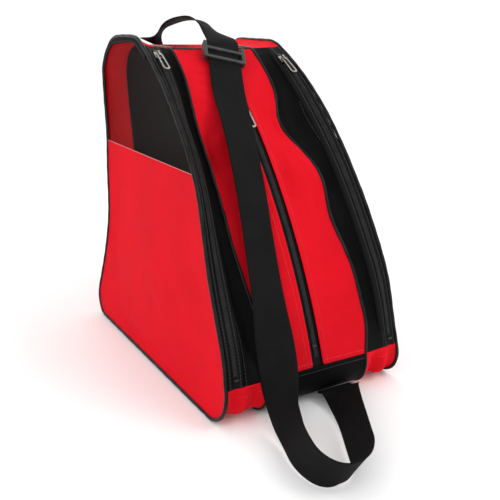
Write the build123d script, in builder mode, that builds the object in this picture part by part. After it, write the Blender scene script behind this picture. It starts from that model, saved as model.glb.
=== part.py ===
from build123d import *
from math import atan2, cos, degrees, radians, sin
import os

# Skate bag: three zipped compartments side by side in a boot-shaped outline, and one long strap.
# Millimetres. Origin on the ground under the middle of the bag, +X to the right, -Y to the toe, +Z up.
# Both side compartments are modelled on the right; the left one is mirrored in the YZ plane when written.

os.makedirs("parts", exist_ok=True)

# ---------------------------------------------------------------- driving dimensions
cloth = 1.6               # lined, padded side cloth
piping_radius = 2.2       # outer seam piping
inner_piping_radius = 2.0
seam_gap = 0.2            # clear space between a piping and the cloth beside it

outer_half_width = 107.8  # X of the outer seam at the base
outer_leans = {"left": 4.2, "right": 3.2}   # degrees each outer face leans inwards
inner_half_width = 61.0   # X of the inner seam at the base
inner_lean = 1.7          # degrees the dividers lean inwards

bag_top = 347.0           # height of the outer seam above the base seam
middle_top = 335.0        # height of the middle compartment's top
window_seam = 226.0       # lower edge of the mesh window
base_seam = 42.0          # upper edge of the bottom cloth at the toe and the heel
top_seam_y = 50.0         # seam between the front slope and the top
back_seam_y = 140.0       # seam between the top and the back

tape_width = 16.0         # both halves of a side zip's tape
tape = 1.0
coil_width = 5.0
coil_height = 1.6
middle_slot = 9.0         # width left between the two red front panels for the coil
middle_tape_width = 26.0
side_zip_heads = {"left": 14.0, "right": 24.0}     # bare tape above the coil
side_zip_foot = 8.0       # bare tape below the coil
middle_zip_head, middle_zip_foot = 66.0, 12.0

webbing_width = 38.0
webbing = 1.6

# Corners of the side outlines as (Y, height above the base seam), from the toe up over the top to
# the heel, each with the radius that rounds it. The second corner is the long front curve.
outer_corners = [(-184.4, 0), (-128, 241.5), (65.9, bag_top), (190, bag_top), (125.4, 125), (168, 0)]
outer_radii = [30, 455, 48, 38, 150, 25]
inner_corners = [(-190, 0), (-108.8, 216.1), (47, middle_top), (184, middle_top), (125.4, 125), (168, 0)]
inner_radii = [28, 620, 30, 34, 150, 25]
FRONT = 1                 # index of the front curve's corner

# ---------------------------------------------------------------- seam planes (local x is Y, local y is up)
base = piping_radius      # the base seam stands this high, because the bag rests on its piping
beyond = 400.0            # a size larger than the bag, for cutting pieces away


def seam_plane(half_width, lean):
    return Plane(origin=(half_width, 0, base), x_dir=(0, 1, 0),
                 z_dir=(cos(radians(lean)), 0, sin(radians(lean))))


inner_plane = seam_plane(inner_half_width, inner_lean)
middle_plane = seam_plane(0, 0)
side_edge = inner_plane.offset(inner_piping_radius + seam_gap)
middle_edge = inner_plane.offset(-(inner_piping_radius + seam_gap))


# ---------------------------------------------------------------- helpers
def save(name, part):
    part.label = name
    export_step(part, f"parts/{name}.step")


def save_side(side, name, part):
    """Write a piece of a side compartment, mirrored if it is the left one."""
    if side == "right":
        save(f"right_{name}", part)
    else:
        with BuildPart() as left:
            mirror(part, about=Plane.YZ)
        save(f"left_{name}", left.part)


def boot_face(plane, corners, radii, inset=0.0):
    """The side outline as a face on a plane, drawn in by inset."""
    with BuildSketch(plane) as boot:
        with BuildLine():
            FilletPolyline(*corners, radius=radii, close=True)
        make_face()
        if inset:
            offset(amount=-inset, kind=Kind.INTERSECTION, mode=Mode.REPLACE)
    return boot.sketch.face()


def ring(plane, corners, radii, radius):
    """A round piping all the way round an outline."""
    with BuildLine(plane) as seam:
        FilletPolyline(*corners, radius=radii, close=True)
    start = seam.wires()[0]
    with BuildPart() as piping:
        with BuildSketch(Plane(origin=start @ 0, z_dir=start % 0)):
            Circle(radius)
        sweep(path=start)
    return piping.part


def keep_region(y_low, y_high, z_low, z_high):
    """Keep only what lies between these limits in the part being built."""
    size_y, size_z = y_high - y_low, z_high - z_low
    with Locations((0, (y_low + y_high) / 2, (z_low + z_high) / 2)):
        Box(beyond, size_y, size_z, mode=Mode.INTERSECT)


def cut_top_room():
    """Take away from the back band what belongs to the top."""
    with Locations((0, back_seam_y - beyond / 2, waist_height + beyond / 2)):
        Box(beyond, beyond, beyond, mode=Mode.SUBTRACT)


def front_arc(corners, radii):
    """Centre, radius and the two end angles of the front curve, in its own plane."""
    before, corner, after = (Vector(*corners[i]) for i in (FRONT - 1, FRONT, FRONT + 1))
    down, up = (before - corner).normalized(), (after - corner).normalized()
    bisector = (down + up).normalized()
    half_angle = radians(down.get_angle(up)) / 2
    radius = radii[FRONT]
    centre = corner + bisector * (radius / sin(half_angle))
    reach = radius * cos(half_angle) / sin(half_angle)
    ends = [corner + up * reach, corner + down * reach]
    angles = [degrees(atan2(end.Y - centre.Y, end.X - centre.X)) for end in ends]
    return centre, radius, angles


def polar_plane(plane, centre, radius, angle):
    """Plane at a point of the front curve: x across the zip, y up the slope, z outwards."""
    outward = plane.x_dir * cos(radians(angle)) + plane.y_dir * sin(radians(angle))
    origin = plane.from_local_coords(Vector(centre.X, centre.Y, 0)) + outward * radius
    return Plane(origin=origin, x_dir=plane.z_dir, z_dir=outward)


# ---------------------------------------------------------------- zips
slider_gap = 0.3
slider_height = 2.3
slider_length = 11.0
bail_height = 3.2
bail_width = 2.4
pull_length = 27.0
pull_bar_radius = 0.75
pull_bar_y = -1.0          # the pull's cross bar, below the slider's middle
bail_window = 2.4          # height of the opening under the bail
bar_height = slider_gap + slider_height + bail_window / 2   # of the pull's bar above the tape


def revolved_strip(plane, centre, radius, angle, sweep_angle, width, height):
    """A strip of this width and height laid along the front curve, its outer face at radius."""
    start = polar_plane(plane, centre, radius, angle)
    section = Plane(origin=start.origin, x_dir=start.x_dir, z_dir=-start.y_dir)
    axis = Axis(plane.from_local_coords(Vector(centre.X, centre.Y, 0)), plane.z_dir)
    with BuildPart() as strip:
        with BuildSketch(section):
            with Locations((0, -height / 2)):
                Rectangle(width, height)
        revolve(axis=axis, revolution_arc=sweep_angle)
    return strip.part


def zip_slider(place):
    """Slider body astride the coil, with a bail on top for the pull."""
    with BuildPart() as slider:
        with BuildSketch(place.offset(slider_gap)):
            with BuildLine():
                Polyline((-4.4, -4), (-3.4, -5.5), (3.4, -5.5), (4.4, -4), (4.4, 3.5), (3.2, 5.5),
                         (-3.2, 5.5), (-4.4, 3.5), close=True)
            make_face()
        extrude(amount=slider_height)
        fillet(slider.edges().filter_by(GeomType.LINE).group_by(Axis(place.origin, place.z_dir))[-1], 0.4)
        with BuildSketch(place):
            Rectangle(coil_width + 0.8, 2 * slider_length)
        extrude(amount=coil_height + slider_gap, mode=Mode.SUBTRACT)
        with BuildSketch(place.offset(slider_gap + slider_height - 0.1)):
            with Locations((0, pull_bar_y)):
                Rectangle(bail_width, 8)
        extrude(amount=bail_height + 0.1)
        with BuildSketch(place.offset(slider_gap + slider_height)):
            with Locations((0, pull_bar_y)):
                Rectangle(2 * bail_width, 4.6)
        extrude(amount=bail_window, mode=Mode.SUBTRACT)
    return slider.part


def zip_pull(place):
    """Long teardrop loop, its top bar through the slider's bail."""
    with BuildPart() as pull:
        with BuildSketch(place.offset(bar_height - pull_bar_radius)):
            with Locations((0, pull_bar_y)):
                Rectangle(6.6, 2 * pull_bar_radius)
            with Locations((0, pull_bar_y - pull_length + 4)):
                Circle(4)
            make_hull()
            with BuildSketch(mode=Mode.PRIVATE) as opening:
                with Locations((0, pull_bar_y - pull_bar_radius - 1)):
                    Rectangle(3.6, 2)
                with Locations((0, pull_bar_y - pull_length + 4.4)):
                    Circle(2.1)
                make_hull()
            add(opening.sketch, mode=Mode.SUBTRACT)
        extrude(amount=2 * pull_bar_radius)
    return pull.part


def zip_stops(places):
    """Two crimped stops, one beyond each end of the coil."""
    with BuildPart() as stops:
        for place in places:
            with BuildSketch(place.offset(0.05)):
                Rectangle(coil_width, 2.2)
            extrude(amount=coil_height - 0.1)
    return stops.part


def zip_set(plane, arc, tape_drop, zip_head, zip_foot):
    """The pieces of one zip except its tape. tape_drop is how far the tape lies under the front curve,
    zip_head and zip_foot how far along it the coil starts below the top and ends above the toe."""
    centre, radius, (top_angle, toe_angle) = arc
    per_mm = degrees(1 / radius)
    tape_radius = radius - tape_drop
    first = top_angle + zip_head * per_mm
    last = toe_angle - zip_foot * per_mm
    slider_angle = first + (slider_length / 2 + 2) * per_mm
    place = polar_plane(plane, centre, tape_radius, slider_angle)
    stop_places = [polar_plane(plane, centre, tape_radius, angle)
                   for angle in (first - 2 * per_mm, last + 2 * per_mm)]
    travel = last - slider_angle - (slider_length / 2 + 2) * per_mm
    hinge = plane.from_local_coords(Vector(centre.X, centre.Y, 0))
    bar = place.from_local_coords(Vector(0, pull_bar_y, bar_height))
    print("zip travel", round(travel, 2), "about", hinge, "axis", plane.z_dir, "pull bar", bar)
    return {
        "zip_coil": revolved_strip(plane, centre, tape_radius + coil_height, first, last - first,
                                   coil_width, coil_height - 0.05),
        "zip_slider": zip_slider(place),
        "zip_pull": zip_pull(place),
        "zip_stops": zip_stops(stop_places),
    }


# ---------------------------------------------------------------- side compartments
# Limits of the pieces cut from a band: lowest and highest Y, lowest and highest Z.
waist_height = 200.0      # a height between the toe and the top, to tell the base band from the top band
front_limits = (-beyond, top_seam_y, base_seam, beyond)
top_limits = (top_seam_y, back_seam_y, waist_height, beyond)
base_limits = (-beyond, beyond, -beyond, base_seam)
back_limits = (100, beyond, base_seam, beyond)


def side_band(start_plane):
    """The cloth band from a plane near the outer seam to the inner seam, all the way round."""
    with BuildPart() as band:
        loft([boot_face(start_plane, outer_corners, outer_radii),
              boot_face(side_edge, inner_corners, inner_radii)], ruled=True)
        loft([boot_face(start_plane, outer_corners, outer_radii, cloth),
              boot_face(side_edge, inner_corners, inner_radii, cloth)], ruled=True, mode=Mode.SUBTRACT)
    return band.part


def outer_face(side, outer_plane):
    """Red boot panel below the window seam, mesh above it, both inside the piping."""
    face = boot_face(outer_plane.offset(-cloth / 2), outer_corners, outer_radii, piping_radius + seam_gap)
    for name, low, high in (("side_panel", -beyond, window_seam), ("mesh_window", window_seam, beyond)):
        with BuildPart() as panel:
            extrude(face, amount=cloth)
            keep_region(-beyond, beyond, low, high)
        save_side(side, name, panel.part)
    save_side(side, "outer_piping", ring(outer_plane, outer_corners, outer_radii, piping_radius))


def inner_wall(side):
    """The divider and the piping round it."""
    with BuildPart() as divider:
        extrude(boot_face(inner_plane.offset(-cloth / 2), inner_corners, inner_radii,
                          inner_piping_radius + seam_gap), amount=cloth)
    save_side(side, "divider", divider.part)
    save_side(side, "inner_piping", ring(inner_plane, inner_corners, inner_radii, inner_piping_radius))


def gussets(side, outer_edge):
    """The black cloth of the front slope and the red cloth of the top, the back and the base."""
    with BuildPart() as front_gusset:
        add(side_band(outer_edge.offset(-tape_width)))
        keep_region(*front_limits)
    save_side(side, "front_gusset", front_gusset.part)
    red_band = side_band(outer_edge)
    for name, limits in (("top_gusset", top_limits), ("bottom_gusset", base_limits)):
        with BuildPart() as gusset:
            add(red_band)
            keep_region(*limits)
        save_side(side, name, gusset.part)
    with BuildPart() as back_gusset:
        add(red_band)
        keep_region(*back_limits)
        cut_top_room()
    save_side(side, "back_gusset", back_gusset.part)


def side_zip(side, outer_edge):
    """The zip along the outer edge of the front slope."""
    arc = front_arc(outer_corners, outer_radii)
    centre, radius, (top_angle, toe_angle) = arc
    zip_plane = outer_edge.offset(-tape_width / 2)
    with BuildPart() as side_tape:
        add(revolved_strip(zip_plane, centre, radius, top_angle - 1, toe_angle - top_angle + 2,
                           tape_width, tape))
        keep_region(*front_limits)
    save_side(side, "zip_tape", side_tape.part)
    print(side, end=" ")
    for name, part in zip_set(zip_plane, arc, 0, side_zip_heads[side], side_zip_foot).items():
        save_side(side, name, part)


for side, lean in outer_leans.items():
    outer_plane = seam_plane(outer_half_width, lean)
    outer_edge = outer_plane.offset(-(piping_radius + seam_gap))
    outer_face(side, outer_plane)
    inner_wall(side)
    gussets(side, outer_edge)
    side_zip(side, outer_edge)

# ---------------------------------------------------------------- middle compartment
left_middle_edge = Plane(origin=(-middle_edge.origin.X, 0, middle_edge.origin.Z), x_dir=(0, 1, 0),
                         z_dir=(-middle_edge.z_dir.X, 0, middle_edge.z_dir.Z))
with BuildPart() as middle_band:
    for inset, mode in ((0.0, Mode.ADD), (cloth, Mode.SUBTRACT)):
        extrude(boot_face(middle_plane, inner_corners, inner_radii, inset), amount=outer_half_width,
                both=True, mode=mode)
    split(bisect_by=middle_edge, keep=Keep.BOTTOM)
    split(bisect_by=left_middle_edge, keep=Keep.BOTTOM)

top_piping_radius = 1.8
top_piping_room = top_piping_radius + seam_gap
with BuildPart() as front_right:
    add(middle_band.part)
    keep_region(-beyond, top_seam_y - top_piping_room, base_seam, beyond)
    with Locations((middle_slot / 2 - beyond / 2, 0, 0)):
        Box(beyond, 2 * beyond, 2 * beyond, mode=Mode.SUBTRACT)
save("middle_front_right", front_right.part)
with BuildPart() as front_left:
    mirror(front_right.part, about=Plane.YZ)
save("middle_front_left", front_left.part)

with BuildPart() as middle_top_panel:
    add(middle_band.part)
    keep_region(top_seam_y + top_piping_room, back_seam_y, waist_height, beyond)
save("middle_top_panel", middle_top_panel.part)

with BuildPart() as middle_back_panel:
    add(middle_band.part)
    keep_region(*back_limits)
    cut_top_room()
save("middle_back_panel", middle_back_panel.part)

with BuildPart() as base_panel:
    add(middle_band.part)
    keep_region(*base_limits)
save("base_panel", base_panel.part)

# Piping across the front edge of the top, between the two inner pipings.
top_piping_half = (inner_half_width - middle_top * sin(radians(inner_lean))
                   - inner_piping_radius - 3 * seam_gap)
top_piping_stand = 1.0    # how far it stands above the cloth
with BuildPart() as top_piping:
    with BuildSketch(Plane.YZ.offset(-top_piping_half)):
        with Locations((top_seam_y, base + middle_top - top_piping_radius + top_piping_stand)):
            Circle(top_piping_radius)
    extrude(amount=2 * top_piping_half)
save("top_piping", top_piping.part)

# Stiffener lying on the base cloth inside the middle compartment.
board_thickness = 3.0
board_width, board_length, board_corner = 110.0, 262.0, 18.0
board_y = -6.0
with BuildPart() as base_board:
    with BuildSketch(Plane.XY.offset(base + cloth + seam_gap)):
        with Locations((0, board_y)):
            RectangleRounded(board_width, board_length, board_corner)
    extrude(amount=board_thickness)
save("base_board", base_board.part)

# Middle zip: its tape lies under the red panels and the coil shows in the slot between them.
middle_arc = front_arc(inner_corners, inner_radii)
centre, radius, (top_angle, toe_angle) = middle_arc
middle_tape_drop = cloth + 0.1
with BuildPart() as middle_tape:
    add(revolved_strip(middle_plane, centre, radius - middle_tape_drop, top_angle, toe_angle - top_angle,
                       middle_tape_width, tape))
    keep_region(-beyond, top_seam_y - top_piping_room - 1, base_seam + 1, beyond)
save("middle_zip_tape", middle_tape.part)
print("middle", end=" ")
middle_zip = zip_set(middle_plane, middle_arc, middle_tape_drop, middle_zip_head, middle_zip_foot)
for name, part in middle_zip.items():
    save(f"middle_{name}", part)

# ---------------------------------------------------------------- strap
# The buckle slides on a straight stretch of the webbing in front of the top edge.
buckle_centre = Vector(5, 30, 331.3)
strap_fall = Vector(-0.30, -0.72, -0.63).normalized()
straight_above, straight_below = 16.0, 46.0


def on_straight(distance):
    """Point of the straight stretch, measured down the strap from the buckle's centre."""
    point = buckle_centre + strap_fall * distance
    return (point.X, point.Y, point.Z)


# Control points of the webbing's centre line, each with the direction across its width.
flat = (-1, 0, 0)
strap_route = [
    ((-22, 163.6, 337.6), flat),
    ((-17.5, 160, 348), (-0.25, -0.97, 0)),
    ((-3, 142, 366), (-0.88, -0.45, -0.05)),
    ((11, 113, 369), (-0.91, -0.37, 0.15)),
    ((14, 89, 360), (-0.87, -0.3, 0.4)),
    ((16, 69, 352), (-0.97, -0.1, 0.2)),
    (on_straight(-straight_above - 8), flat),
    (on_straight(-straight_above + 8), flat),
    (on_straight(straight_below - 13), flat),
    (on_straight(straight_below + 13), flat),
    ((-23, -48, 268), (-0.98, -0.2, 0)),
    ((-33, -93, 214), (-0.98, -0.2, 0)),
    ((-40, -124, 160), (-0.98, -0.2, 0)),
    ((-46, -155, 105), (-0.97, -0.25, 0)),
    ((-53, -182, 56), (-0.84, -0.54, 0)),
    ((-60, -202, 26), (-0.4, -0.45, -0.78)),
    ((-68, -229, 20), (-0.3, 0, -0.94)),
    ((-79, -256, 20), (-0.25, -0.05, -0.95)),
    ((-82, -289, 20), (0.1, 0.15, -0.95)),
    ((-66, -306, 20), (0.25, 0.5, -0.83)),
    ((-40, -297, 20), (-0.1, 0.55, -0.83)),
    ((-22, -265, 20), (-0.27, 0.42, -0.86)),
    ((-2, -230, 20), (-0.3, 0.45, -0.85)),
    ((13, -201, 20), (-0.6, 0.3, -0.7)),
    ((23, -187, 15.5), (-0.97, 0.05, -0.15)),
    ((24, -176, 11), (-1, 0, 0)),
]


def blend(values, position):
    """Quadratic blend of a list of vectors, clamped at both ends: position runs from 0 to len - 2."""
    spans = len(values) - 2
    i = min(int(position), spans - 1)
    knots = [min(max(k - 2, 0), spans) for k in range(len(values) + 3)]
    point = [Vector(*values[j]) for j in range(i, i + 3)]
    for level in (1, 2):
        for j in range(2, level - 1, -1):
            low, high = knots[i + j], knots[i + j + 3 - level]
            share = (position - low) / (high - low)
            point[j] = point[j - 1] * (1 - share) + point[j] * share
    return point[2]


steps_per_span = 3
spans = len(strap_route) - 2
points = [place for place, _ in strap_route]
across = [direction for _, direction in strap_route]
sections = []
length = 0.0
previous = None
for step in range(spans * steps_per_span + 1):
    position = step / steps_per_span
    here = blend(points, position)
    ahead = blend(points, min(position + 0.01, spans))
    behind = blend(points, max(position - 0.01, 0))
    tangent = (ahead - behind).normalized()
    width = blend(across, position)
    width = (width - tangent * width.dot(tangent)).normalized()
    if previous:
        length += (here - previous).length
    previous = here
    with BuildSketch(Plane(origin=here, x_dir=width, z_dir=tangent)) as section:
        Rectangle(webbing_width, webbing)
    sections.append(section.sketch.face())
with BuildPart() as shoulder_strap:
    loft(sections, ruled=True)
save("shoulder_strap", shoulder_strap.part)
print("strap length", round(length, 1), "volume / (section x length)",
      round(shoulder_strap.part.volume / (webbing_width * webbing * length), 3))

# Three-bar buckle: the webbing runs in front of the top bar and behind the other two.
buckle_plane = Plane(origin=buckle_centre, x_dir=(Vector(1, 0, 0) - strap_fall * strap_fall.X).normalized(),
                     z_dir=(Vector(1, 0, 0) - strap_fall * strap_fall.X).normalized().cross(-strap_fall))
bar_clear = webbing / 2 + 0.4   # from the middle of the webbing to a bar
bar = 2.2
rail_width = 4.0
frame_height = 25.0
top_bar_height = 5.0
front_bar_height = 3.6
centre_bar_height = 3.0     # of the centre bar above the middle of the frame
rail_x = webbing_width / 2 + 1.0 + rail_width / 2
with BuildPart() as buckle:
    with BuildSketch(buckle_plane.offset(-bar_clear - bar)):
        with Locations((-rail_x, 0), (rail_x, 0)):
            RectangleRounded(rail_width, frame_height, 1.5)
    extrude(amount=2 * (bar_clear + bar))
    with BuildSketch(buckle_plane.offset(-bar_clear - bar)):
        with Locations((0, (frame_height - top_bar_height) / 2)):
            Rectangle(2 * rail_x, top_bar_height)
    extrude(amount=bar)
    with BuildSketch(buckle_plane.offset(bar_clear)):
        with Locations((0, centre_bar_height), (0, (front_bar_height - frame_height) / 2)):
            Rectangle(2 * rail_x, front_bar_height)
    extrude(amount=bar)
save("strap_buckle", buckle.part)
print("buckle slides along", strap_fall)

# Folded and sewn ends of the webbing. The upper one lies on the rounded back corner of the top.
anchor = 3.0
anchor_length = 22.0
bottom_anchor_length = 5.0
back_angle = 35.0         # the upper anchor's face, degrees above straight back
corner_radius = inner_radii[3]
(back_y, _), (waist_y, waist_z) = inner_corners[3], inner_corners[4]
half_corner = atan2(middle_top - waist_z, back_y - waist_y) / 2
centre_y = back_y - corner_radius * cos(half_corner) / sin(half_corner)
anchor_radius = corner_radius + seam_gap
top_anchor_plane = Plane(
    origin=(points[0][0], centre_y + anchor_radius * cos(radians(back_angle)),
            base + middle_top - corner_radius + anchor_radius * sin(radians(back_angle))),
    x_dir=(-1, 0, 0), z_dir=(0, cos(radians(back_angle)), sin(radians(back_angle))))
with BuildPart() as top_anchor:
    with BuildSketch(top_anchor_plane):
        RectangleRounded(webbing_width + 2, anchor_length, 1.5)
    extrude(amount=anchor)
save("top_anchor", top_anchor.part)
print("corner centre", centre_y, "top anchor", top_anchor_plane.origin, top_anchor_plane.y_dir)

strap_end = Vector(*points[-1])
end_plane = Plane(origin=strap_end, x_dir=(1, 0, 0), z_dir=strap_end - Vector(*points[-2]))
with BuildPart() as bottom_anchor:
    with BuildSketch(end_plane.offset(0.1)):
        Rectangle(webbing_width + 2, anchor)
    extrude(amount=bottom_anchor_length)
save("bottom_anchor", bottom_anchor.part)
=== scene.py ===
import math

import bpy
import numpy as np
from mathutils import Matrix, Vector


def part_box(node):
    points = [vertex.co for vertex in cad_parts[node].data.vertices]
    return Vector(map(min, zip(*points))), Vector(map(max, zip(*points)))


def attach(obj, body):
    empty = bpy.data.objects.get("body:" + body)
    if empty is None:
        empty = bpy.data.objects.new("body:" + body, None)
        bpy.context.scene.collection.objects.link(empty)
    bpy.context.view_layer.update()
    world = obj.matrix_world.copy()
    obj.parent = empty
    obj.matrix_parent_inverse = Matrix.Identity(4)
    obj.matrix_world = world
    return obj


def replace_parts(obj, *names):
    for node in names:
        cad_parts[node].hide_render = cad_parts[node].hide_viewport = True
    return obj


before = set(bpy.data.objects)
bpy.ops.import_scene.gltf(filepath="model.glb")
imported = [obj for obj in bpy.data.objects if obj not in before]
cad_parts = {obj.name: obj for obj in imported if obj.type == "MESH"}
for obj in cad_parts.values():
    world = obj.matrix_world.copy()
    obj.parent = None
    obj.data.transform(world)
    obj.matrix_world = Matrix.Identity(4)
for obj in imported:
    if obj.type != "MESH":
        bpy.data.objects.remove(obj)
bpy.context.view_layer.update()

# Skate bag: red and black cloth sewn between four piped seams, three zips and one long strap.
# Metres, in the frame of the CAD: +X to the right, -Y to the toe, +Z up.
MM = 0.001
BAG = "bag"

# ---- sizes that repeat the CAD
piping_radius = 2.2 * MM
inner_piping_radius = 2.0 * MM
base = piping_radius                      # height of the base seam
outer_half_width = 107.8 * MM
outer_leans = {"left": 4.2, "right": 3.2}
inner_half_width = 61.0 * MM
inner_lean = 1.7
window_seam = 226.0 * MM
base_seam = 42.0 * MM
top_seam_y = 50.0 * MM
back_seam_y = 140.0 * MM
tape_width = 16.0 * MM
tape_inset = piping_radius + 0.2 * MM     # from an outer seam's middle line to the tape
webbing_width = 38.0 * MM
webbing = 1.6 * MM
outer_corners = [(-184.4, 0), (-128, 241.5), (65.9, 347), (190, 347), (125.4, 125), (168, 0)]
outer_radii = [30, 455, 48, 38, 150, 25]
inner_corners = [(-190, 0), (-108.8, 216.1), (47, 335), (184, 335), (125.4, 125), (168, 0)]
inner_radii = [28, 620, 30, 34, 150, 25]
sides = {"left": -1.0, "right": 1.0}

# Points along each rounded corner and along the straight run after it, in the corners' order.
arc_steps = [12, 190, 14, 30, 40, 14]
run_steps = [4, 3, 34, 60, 30, 80]
corner_starts = [sum(arc_steps[:i]) + sum(run_steps[:i]) for i in range(6)]
FRONT_START, TOP_START, BACK_START, HEEL_START = (corner_starts[i] for i in (1, 2, 3, 5))
BASE_START = HEEL_START + arc_steps[5]


def new_object(name, data):
    """An object for this data, linked to the scene."""
    obj = bpy.data.objects.new(name, data)
    bpy.context.scene.collection.objects.link(obj)
    return obj


# ---- camera
def make_camera():
    """Looks down on the bag from its toe side and its left."""
    place = Vector((-0.389, -0.6705, 0.367))
    ahead = Vector((0.5, 0.8083, -0.3114)).normalized()
    right = Vector((0.8536, -0.5208, 0.02))
    right = (right - ahead * right.dot(ahead)).normalized()
    up = right.cross(ahead)
    turn = Matrix((right, up, -ahead)).transposed().to_4x4()
    data = bpy.data.cameras.new("camera")
    data.sensor_width = 36.0
    data.lens = 50.4
    data.clip_start = 0.01
    camera = new_object("camera", data)
    camera.matrix_world = Matrix.Translation(place) @ turn
    bpy.context.scene.camera = camera


make_camera()


# ---- node helpers
class Nodes:
    """A short way to write a material's node tree."""

    def __init__(self, name):
        self.material = bpy.data.materials.new(name)
        self.material.use_nodes = True
        self.tree = self.material.node_tree
        self.shader = self.tree.nodes["Principled BSDF"]

    def put(self, kind, **values):
        node = self.tree.nodes.new(kind)
        for key, value in values.items():
            setattr(node, key, value)
        return node

    def join(self, source, target):
        self.tree.links.new(source, target)

    def math(self, operation, first, second=None):
        node = self.put("ShaderNodeMath", operation=operation)
        for socket, value in zip(node.inputs, (first, second)):
            if value is None:
                continue
            if isinstance(value, (int, float)):
                socket.default_value = value
            else:
                self.join(value, socket)
        return node.outputs[0]

    def noise(self, scale, detail=3.0, stretch=(1, 1, 1)):
        """Noise over the object's own space, in metres."""
        mapping = self.put("ShaderNodeMapping")
        mapping.inputs["Scale"].default_value = stretch
        self.join(self.put("ShaderNodeTexCoord").outputs["Object"], mapping.inputs["Vector"])
        node = self.put("ShaderNodeTexNoise")
        node.inputs["Scale"].default_value = scale
        node.inputs["Detail"].default_value = detail
        self.join(mapping.outputs[0], node.inputs["Vector"])
        return node.outputs["Fac"]

    def cloth_axes(self):
        """Distances across and along the cloth, in metres."""
        split = self.put("ShaderNodeSeparateXYZ")
        self.join(self.put("ShaderNodeUVMap", uv_map="UVMap").outputs[0], split.inputs[0])
        return split.outputs[0], split.outputs[1]

    def wave(self, distance, pitch):
        return self.math("SINE", self.math("MULTIPLY", distance, 2 * math.pi / pitch))

    def colour(self, factor, dark, light, low=0.0, high=1.0):
        ramp = self.put("ShaderNodeValToRGB")
        ramp.color_ramp.elements[0].position = low
        ramp.color_ramp.elements[1].position = high
        ramp.color_ramp.elements[0].color = (*dark, 1)
        ramp.color_ramp.elements[1].color = (*light, 1)
        self.join(factor, ramp.inputs[0])
        self.join(ramp.outputs[0], self.shader.inputs["Base Color"])

    def rough(self, factor, low, high):
        spread = self.math("MULTIPLY", factor, high - low)
        self.join(self.math("ADD", spread, low), self.shader.inputs["Roughness"])

    def bumps(self, *layers):
        """Each layer is (height, strength, distance in metres)."""
        last = None
        for height, strength, distance in layers:
            bump = self.put("ShaderNodeBump")
            bump.inputs["Strength"].default_value = strength
            bump.inputs["Distance"].default_value = distance
            self.join(height, bump.inputs["Height"])
            if last:
                self.join(last, bump.inputs["Normal"])
            last = bump.outputs[0]
        self.join(last, self.shader.inputs["Normal"])

    def fixed(self, **values):
        for key, value in values.items():
            self.shader.inputs[key.replace("_", " ")].default_value = value


# ---- materials
def woven(name, dark, light, pitch, rough_low, rough_high, specular, glow=0.0):
    """Plain oxford weave of crossing threads. glow is how deep light soaks in, in metres."""
    n = Nodes(name)
    across, along = n.cloth_axes()
    warp, weft = n.wave(across, pitch), n.wave(along, pitch)
    over = n.math("MULTIPLY", warp, weft)
    threads = n.math("ADD", n.math("MULTIPLY", over, 0.5), 0.5)
    slubs = n.noise(900.0, 2.0, (1, 0.12, 1))
    # This noise varies the tone at random and the roughness; on the black cloths its paler patches are
    # also painted sheen, standing in for light on folds.
    wear_and_sheen = n.noise(22.0, 4.0)
    mixed = n.math("ADD", n.math("MULTIPLY", threads, 0.35), n.math("MULTIPLY", wear_and_sheen, 0.5))
    mixed = n.math("ADD", mixed, n.math("MULTIPLY", slubs, 0.15))
    n.colour(mixed, dark, light, 0.2, 0.8)
    n.rough(wear_and_sheen, rough_low, rough_high)
    n.bumps((n.noise(60.0, 4.0), 0.25, 0.0022), (n.noise(240.0, 2.0), 0.12, 0.0005),
            (threads, 0.35, 0.0003))
    n.fixed(Specular_IOR_Level=specular)
    if glow:
        n.fixed(Subsurface_Weight=0.6, Subsurface_Scale=glow, Subsurface_Radius=(1.0, 0.3, 0.3))
    return n.material


def make_mesh_cloth():
    """Sheer mesh: small black knots in rows, with almost clear cloth between them."""
    n = Nodes("sheer_mesh")
    across, along = n.cloth_axes()
    pitch = 1.3 * MM
    columns, rows = n.wave(across, pitch), n.wave(along, pitch)
    cell = n.math("MULTIPLY", n.math("ADD", columns, rows), 0.5)
    clear = n.math("GREATER_THAN", cell, -0.72)
    knot = n.math("SUBTRACT", 1.0, clear)
    n.colour(n.noise(300.0), (0.006, 0.005, 0.005), (0.02, 0.016, 0.016))
    n.join(n.math("MAXIMUM", knot, 0.02), n.shader.inputs["Alpha"])
    n.bumps((cell, 0.4, 0.0003))
    n.fixed(Roughness=0.6, Specular_IOR_Level=0.3)
    return n.material


def make_piping_vinyl():
    n = Nodes("piping_vinyl")
    grime = n.noise(70.0, 4.0)
    n.colour(grime, (0.003, 0.003, 0.0035), (0.014, 0.014, 0.015), 0.3, 0.8)
    n.rough(grime, 0.2, 0.38)
    n.bumps((n.noise(500.0, 2.0), 0.12, 0.0003), (n.noise(90.0, 2.0), 0.2, 0.0008))
    n.fixed(Specular_IOR_Level=0.1, Coat_Weight=0.1, Coat_Roughness=0.1)
    return n.material


def make_webbing():
    """Fine slanting ribs that zigzag across the strap, over long threads."""
    n = Nodes("webbing")
    across, along = n.cloth_axes()
    slant = n.math("PINGPONG", across, 3.0 * MM)
    ribs = n.wave(n.math("ADD", along, slant), 1.3 * MM)
    threads = n.wave(across, 1.1 * MM)
    height = n.math("ADD", n.math("MULTIPLY", ribs, 0.3), n.math("MULTIPLY", threads, 0.2))
    height = n.math("ADD", height, 0.5)
    # This noise varies the strap's tone and roughness; its paler patches are partly painted sheen, as on
    # the black cloth.
    wear_and_sheen = n.noise(45.0, 4.0)
    n.colour(n.math("ADD", n.math("MULTIPLY", height, 0.6), n.math("MULTIPLY", wear_and_sheen, 0.4)),
             (0.003, 0.003, 0.0032), (0.013, 0.013, 0.0135), 0.25, 0.8)
    n.rough(wear_and_sheen, 0.62, 0.82)
    n.bumps((height, 0.7, 0.0004), (wear_and_sheen, 0.15, 0.0015))
    n.fixed(Specular_IOR_Level=0.06)
    return n.material


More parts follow.
